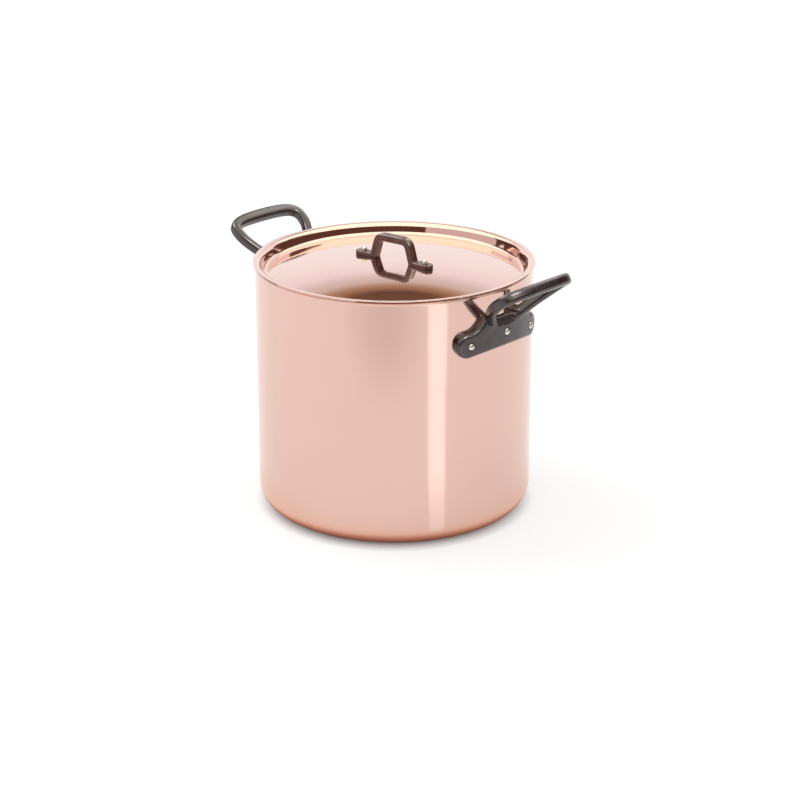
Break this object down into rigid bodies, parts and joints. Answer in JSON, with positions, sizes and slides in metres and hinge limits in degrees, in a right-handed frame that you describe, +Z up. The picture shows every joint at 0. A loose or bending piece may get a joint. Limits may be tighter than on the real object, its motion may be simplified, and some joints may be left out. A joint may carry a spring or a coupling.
{
  "type": "stockpot with lid",
  "caption": "Tall straight-sided copper stockpot lined with stainless steel, with riveted cast iron loop handles and a drop-in domed copper lid lifted by a cast iron bail.",
  "frame": {"origin": "centre of the flat base, on the surface that the pot stands on", "axes": "+X through the right side handle, +Z up along the pot's axis"},
  "size_m": [0.3982, 0.2876, 0.2849],
  "materials": {
    "copper_satin": "soft brushed copper",
    "copper_polished": "mirror polished copper",
    "stainless_steel": "fine brushed",
    "cast_iron": "satin dark grey, fine casting grain"
  },
  "bodies": {
    "pot": {"pot_shell": "copper_satin", "pot_lining": "stainless_steel", "right_handle": "cast_iron", "right_handle_rivet_front": "stainless_steel", "right_handle_rivet_middle": "stainless_steel", "right_handle_rivet_back": "stainless_steel", "left_handle": "cast_iron", "left_handle_rivet_front": "stainless_steel", "left_handle_rivet_middle": "stainless_steel", "left_handle_rivet_back": "stainless_steel"},
    "lid": {"lid_shell": "copper_polished", "lid_lining": "stainless_steel", "lid_handle": "cast_iron", "lid_rivet_right": "stainless_steel", "lid_rivet_left": "stainless_steel"}
  },
  "joints": [
    {"name": "lid_lift", "type": "slide", "parent": "pot", "child": "lid", "axis": [0, 0, 1], "range_m": [0, 0.12]}
  ]
}
